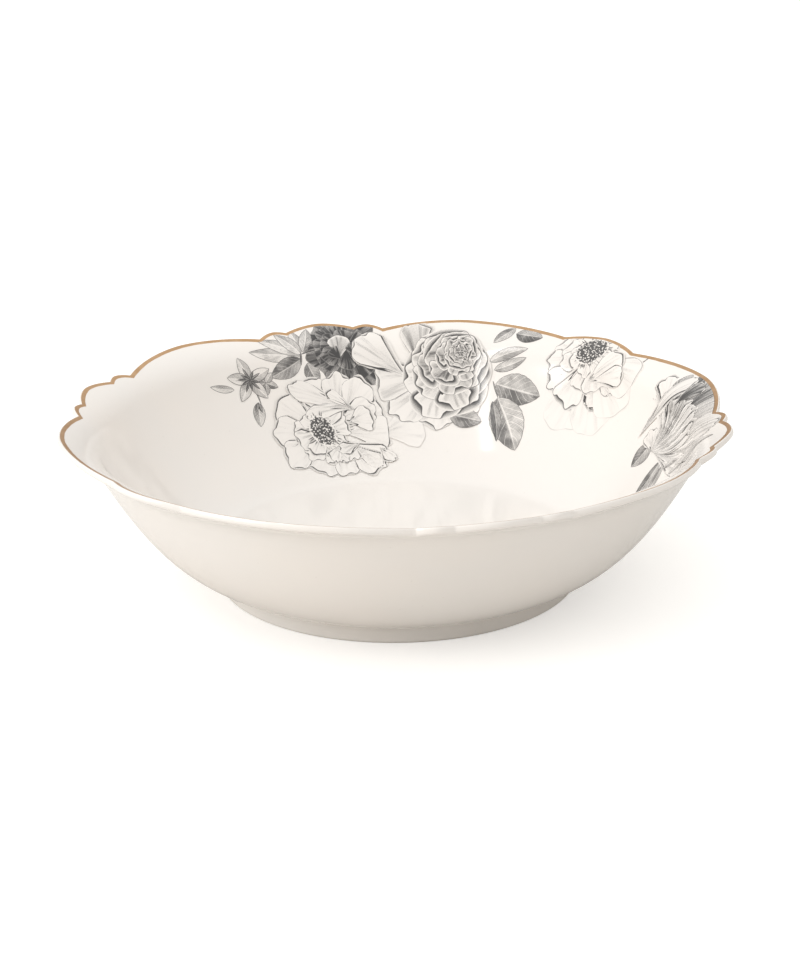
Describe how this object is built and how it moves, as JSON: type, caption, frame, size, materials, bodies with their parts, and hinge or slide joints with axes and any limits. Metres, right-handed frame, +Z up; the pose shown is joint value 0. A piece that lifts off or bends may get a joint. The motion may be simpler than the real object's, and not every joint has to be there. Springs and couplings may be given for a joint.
{
  "type": "serving bowl",
  "caption": "Round porcelain serving bowl with a flared, notched and lobed rim, a gilded lip, a low foot ring and a well open at the top.",
  "frame": {"origin": "centre of the foot ring's contact face, on the surface that the bowl stands on", "axes": "+Z up along the bowl's axis; +Y towards the side whose inner wall carries most of the printed flowers; +X to the right of someone who looks along +Y"},
  "size_m": [0.2486, 0.2494, 0.066],
  "materials": {
    "porcelain": "glossy clear glaze over warm white porcelain",
    "foot": "glossy clear glaze, bare matt porcelain on the contact face",
    "gilding": "burnished soft gold",
    "print": "grey engraved print under a glossy flux"
  },
  "bodies": {
    "root": {"bowl_shell": "porcelain", "foot_ring": "foot", "rim_gilding": "gilding", "star_flower_transfer": "print", "rim_leaf_transfer": "print", "dark_peony_transfer": "print", "white_peony_transfer": "print", "grey_rose_transfer": "print", "leaf_spray_transfer": "print", "pale_peony_transfer": "print", "striped_rose_transfer": "print"}
  },
  "joints": []
}
